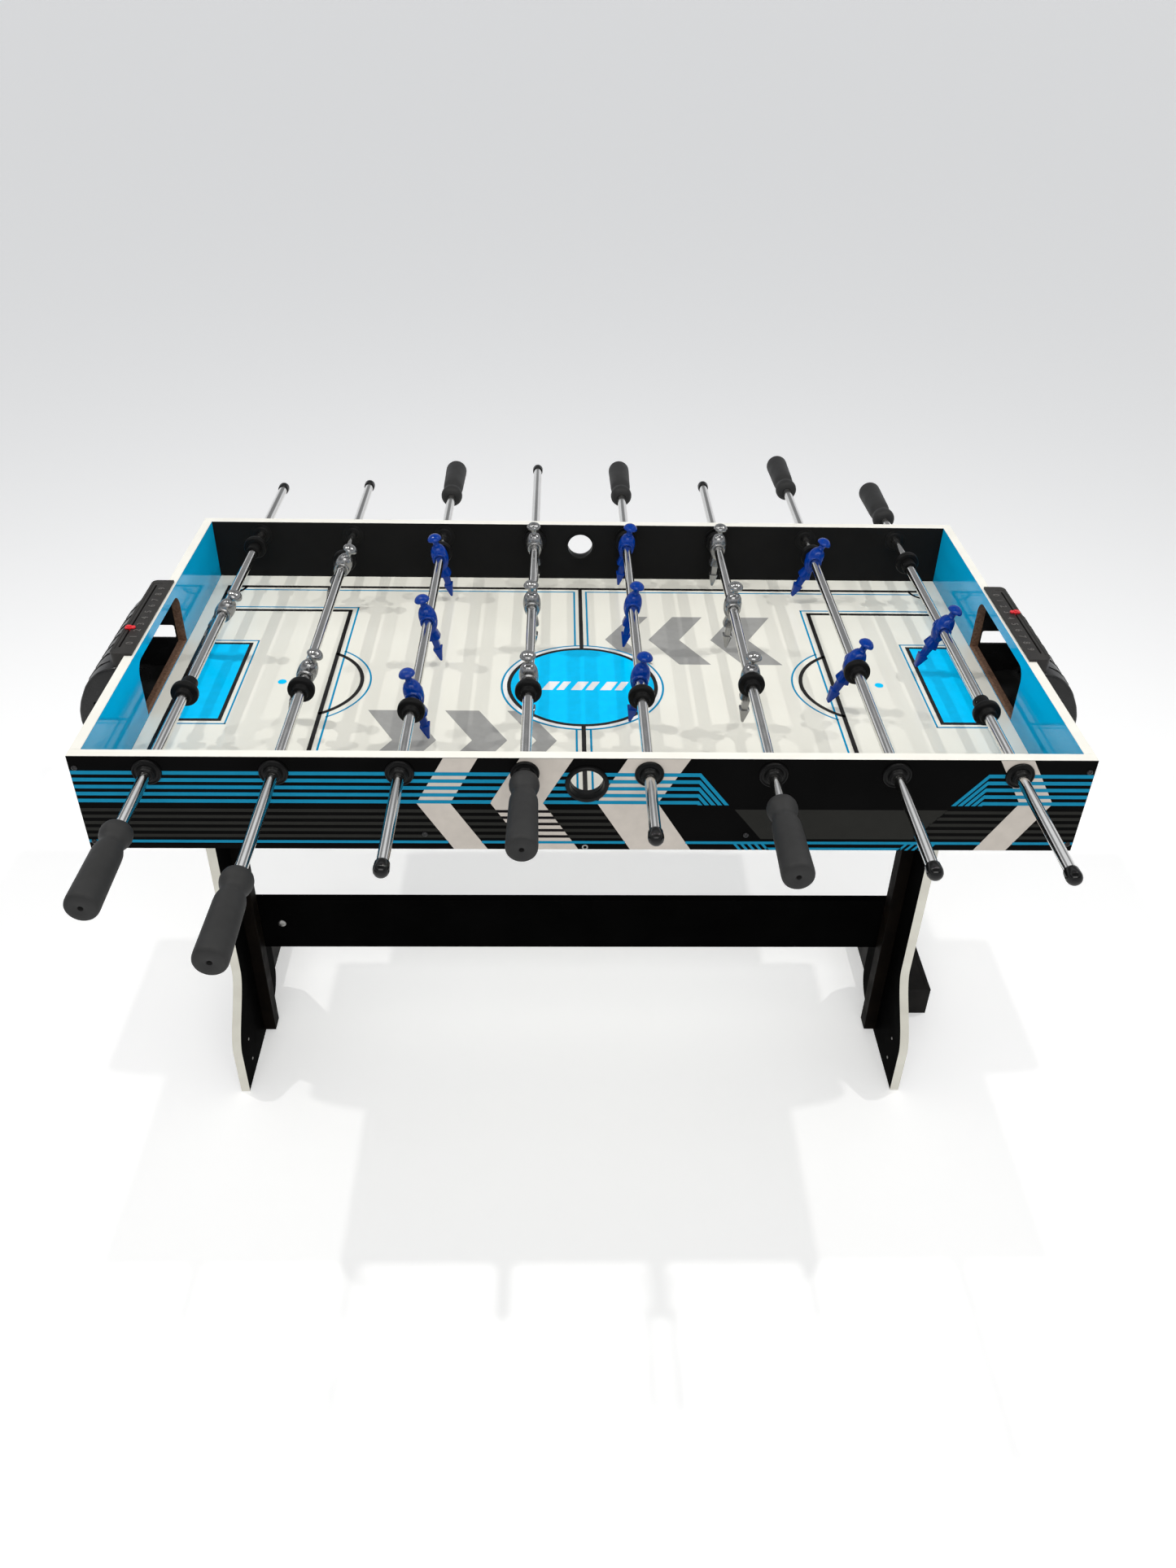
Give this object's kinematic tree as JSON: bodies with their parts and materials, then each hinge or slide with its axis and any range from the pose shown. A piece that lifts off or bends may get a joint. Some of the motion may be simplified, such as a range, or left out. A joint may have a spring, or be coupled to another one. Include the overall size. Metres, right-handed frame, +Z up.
{
  "type": "foosball table",
  "caption": "Open white playfield on two boot-shaped legs, crossed by sliding, turning rods that carry player figures, with goal pockets and score counters at both ends.",
  "frame": {"origin": "on the floor, under the middle of the play box", "axes": "+X along the table, +Y across it along the rods, +Z up"},
  "size_m": [1.55, 1.492, 0.8263],
  "materials": {
    "black_laminate": "satin black laminate on fibreboard",
    "cyan_laminate": "glossy cyan-blue laminate on fibreboard",
    "playfield_print": "glossy white print on fibreboard",
    "black_plastic": "glossy black moulding",
    "rod_steel": "polished chromed tube",
    "grip_rubber": "matte dark grey rubber",
    "bumper_rubber": "matte black rubber",
    "silver_player": "metallic silver-grey moulding",
    "blue_player": "glossy cobalt moulding",
    "marker_red": "glossy red moulding"
  },
  "bodies": {
    "table": {"front_side_panel": "black_laminate", "rear_side_panel": "black_laminate", "left_end_panel": "cyan_laminate", "right_end_panel": "cyan_laminate", "playfield": "playfield_print", "left_goal_box": "black_plastic", "right_goal_box": "black_plastic", "left_score_counter": "black_plastic", "right_score_counter": "black_plastic", "left_leg": "black_laminate", "right_leg": "black_laminate", "leg_stretcher": "black_laminate", "left_rear_foot": "black_laminate", "right_rear_foot": "black_laminate", "left_mounting_plate": "black_laminate", "right_mounting_plate": "black_laminate"},
    "rod_1_carrier": {"rod_1_bumper": "bumper_rubber"},
    "rod_1": {"rod_1_bar": "rod_steel", "rod_1_grip": "grip_rubber", "rod_1_player_1": "silver_player"},
    "rod_2_carrier": {"rod_2_bumper": "bumper_rubber"},
    "rod_2": {"rod_2_bar": "rod_steel", "rod_2_grip": "grip_rubber", "rod_2_player_1": "silver_player", "rod_2_player_2": "silver_player"},
    "rod_3_carrier": {"rod_3_bumper": "bumper_rubber"},
    "rod_3": {"rod_3_bar": "rod_steel", "rod_3_grip": "grip_rubber", "rod_3_player_1": "blue_player", "rod_3_player_2": "blue_player", "rod_3_player_3": "blue_player"},
    "rod_4_carrier": {"rod_4_bumper": "bumper_rubber"},
    "rod_4": {"rod_4_bar": "rod_steel", "rod_4_grip": "grip_rubber", "rod_4_player_1": "silver_player", "rod_4_player_2": "silver_player", "rod_4_player_3": "silver_player"},
    "rod_5_carrier": {"rod_5_bumper": "bumper_rubber"},
    "rod_5": {"rod_5_bar": "rod_steel", "rod_5_grip": "grip_rubber", "rod_5_player_1": "blue_player", "rod_5_player_2": "blue_player", "rod_5_player_3": "blue_player"},
    "rod_6_carrier": {"rod_6_bumper": "bumper_rubber"},
    "rod_6": {"rod_6_bar": "rod_steel", "rod_6_grip": "grip_rubber", "rod_6_player_1": "silver_player", "rod_6_player_2": "silver_player", "rod_6_player_3": "silver_player"},
    "rod_7_carrier": {"rod_7_bumper": "bumper_rubber"},
    "rod_7": {"rod_7_bar": "rod_steel", "rod_7_grip": "grip_rubber", "rod_7_player_1": "blue_player", "rod_7_player_2": "blue_player"},
    "rod_8_carrier": {"rod_8_bumper": "bumper_rubber"},
    "rod_8": {"rod_8_bar": "rod_steel", "rod_8_grip": "grip_rubber", "rod_8_player_1": "blue_player"},
    "left_marker": {"left_score_marker": "marker_red"},
    "right_marker": {"right_score_marker": "marker_red"}
  },
  "joints": [
    {"name": "rod_1_slide", "type": "slide", "parent": "table", "child": "rod_1_carrier", "axis": [0, 1, 0], "range_m": [-0.166, 0.036]},
    {"name": "rod_1_spin", "type": "hinge", "parent": "rod_1_carrier", "child": "rod_1", "pos_m": [-0.58345, 0, 0.785], "axis": [0, 1, 0], "continuous": true},
    {"name": "rod_2_slide", "type": "slide", "parent": "table", "child": "rod_2_carrier", "axis": [0, 1, 0], "range_m": [-0.178, 0.09]},
    {"name": "rod_2_spin", "type": "hinge", "parent": "rod_2_carrier", "child": "rod_2", "pos_m": [-0.41675, 0, 0.785], "axis": [0, 1, 0], "continuous": true},
    {"name": "rod_3_slide", "type": "slide", "parent": "table", "child": "rod_3_carrier", "axis": [0, 1, 0], "range_m": [-0.122, 0.051]},
    {"name": "rod_3_spin", "type": "hinge", "parent": "rod_3_carrier", "child": "rod_3", "pos_m": [-0.25005, 0, 0.785], "axis": [0, 1, 0], "continuous": true},
    {"name": "rod_4_slide", "type": "slide", "parent": "table", "child": "rod_4_carrier", "axis": [0, 1, 0], "range_m": [-0.177, 0.001]},
    {"name": "rod_4_spin", "type": "hinge", "parent": "rod_4_carrier", "child": "rod_4", "pos_m": [-0.08335, 0, 0.785], "axis": [0, 1, 0], "continuous": true},
    {"name": "rod_5_slide", "type": "slide", "parent": "table", "child": "rod_5_carrier", "axis": [0, 1, 0], "range_m": [-0.157, 0.002]},
    {"name": "rod_5_spin", "type": "hinge", "parent": "rod_5_carrier", "child": "rod_5", "pos_m": [0.08335, 0, 0.785], "axis": [0, 1, 0], "continuous": true},
    {"name": "rod_6_slide", "type": "slide", "parent": "table", "child": "rod_6_carrier", "axis": [0, 1, 0], "range_m": [-0.2, 0]},
    {"name": "rod_6_spin", "type": "hinge", "parent": "rod_6_carrier", "child": "rod_6", "pos_m": [0.25005, 0, 0.785], "axis": [0, 1, 0], "continuous": true},
    {"name": "rod_7_slide", "type": "slide", "parent": "table", "child": "rod_7_carrier", "axis": [0, 1, 0], "range_m": [-0.197, 0.051]},
    {"name": "rod_7_spin", "type": "hinge", "parent": "rod_7_carrier", "child": "rod_7", "pos_m": [0.41675, 0, 0.785], "axis": [0, 1, 0], "continuous": true},
    {"name": "rod_8_slide", "type": "slide", "parent": "table", "child": "rod_8_carrier", "axis": [0, 1, 0], "range_m": [-0.056, 0.079]},
    {"name": "rod_8_spin", "type": "hinge", "parent": "rod_8_carrier", "child": "rod_8", "pos_m": [0.58345, 0, 0.785], "axis": [0, 1, 0], "continuous": true},
    {"name": "left_marker_slide", "type": "slide", "parent": "table", "child": "left_marker", "axis": [0, 1, 0], "range_m": [-0.052, 0.14]},
    {"name": "right_marker_slide", "type": "slide", "parent": "table", "child": "right_marker", "axis": [0, 1, 0], "range_m": [-0.125, 0.067]}
  ]
}
